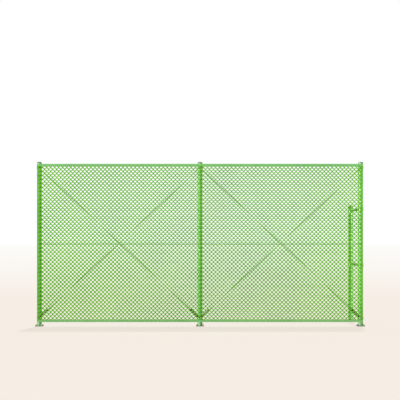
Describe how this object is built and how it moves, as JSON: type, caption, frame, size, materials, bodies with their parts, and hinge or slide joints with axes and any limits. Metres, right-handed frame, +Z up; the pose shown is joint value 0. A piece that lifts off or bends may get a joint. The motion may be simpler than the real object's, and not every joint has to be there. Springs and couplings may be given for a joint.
{
  "type": "wire mesh machine guard fence panel",
  "caption": "Wire mesh guard fence: round posts on bolted plates, rails above and below diamond mesh, crossed brace cables with turnbuckles, and a lower stay post behind one end.",
  "frame": {"origin": "centre of the underside of the middle post's base plate, at ground level", "axes": "+X along the fence to the right as seen from the mesh side, +Y away from the mesh side towards the stay post, +Z up"},
  "size_m": [4.1, 0.8891, 2.044],
  "materials": {
    "green_paint": "satin yellow-green powder coat",
    "green_wire": "coated wire, satin",
    "dark_green_cap": "matt moulded plastic",
    "galvanised_steel": "dull hot-dip galvanised",
    "steel_cable": "dull stranded steel"
  },
  "bodies": {
    "root": {"post_left": "green_paint", "post_middle": "green_paint", "post_right": "green_paint", "post_rear": "green_paint", "top_rail": "green_paint", "bottom_rail": "green_paint", "rail_saddles_left": "green_paint", "rail_saddles_middle": "green_paint", "rail_saddles_right": "green_paint", "edge_bar_left": "green_paint", "edge_bar_right": "green_paint", "brace_bands_left": "green_paint", "brace_bands_middle": "green_paint", "brace_bands_right": "green_paint", "stay_arm_upper": "green_paint", "stay_arm_lower": "green_paint", "stay_tees_upper": "green_paint", "stay_tees_lower": "green_paint", "mesh_front_wires": "green_wire", "mesh_back_wires": "green_wire", "post_cap_left": "dark_green_cap", "post_cap_middle": "dark_green_cap", "post_cap_right": "dark_green_cap", "post_cap_rear": "dark_green_cap", "base_plate_left": "galvanised_steel", "base_plate_middle": "galvanised_steel", "base_plate_right": "galvanised_steel", "base_plate_rear": "galvanised_steel", "line_wire_clips": "galvanised_steel", "turnbuckle_left_rising": "galvanised_steel", "turnbuckle_left_falling": "galvanised_steel", "turnbuckle_right_rising": "galvanised_steel", "turnbuckle_right_falling": "galvanised_steel", "cable_left_rising": "steel_cable", "cable_left_falling": "steel_cable", "cable_right_rising": "steel_cable", "cable_right_falling": "steel_cable", "line_wire": "steel_cable"}
  },
  "joints": []
}
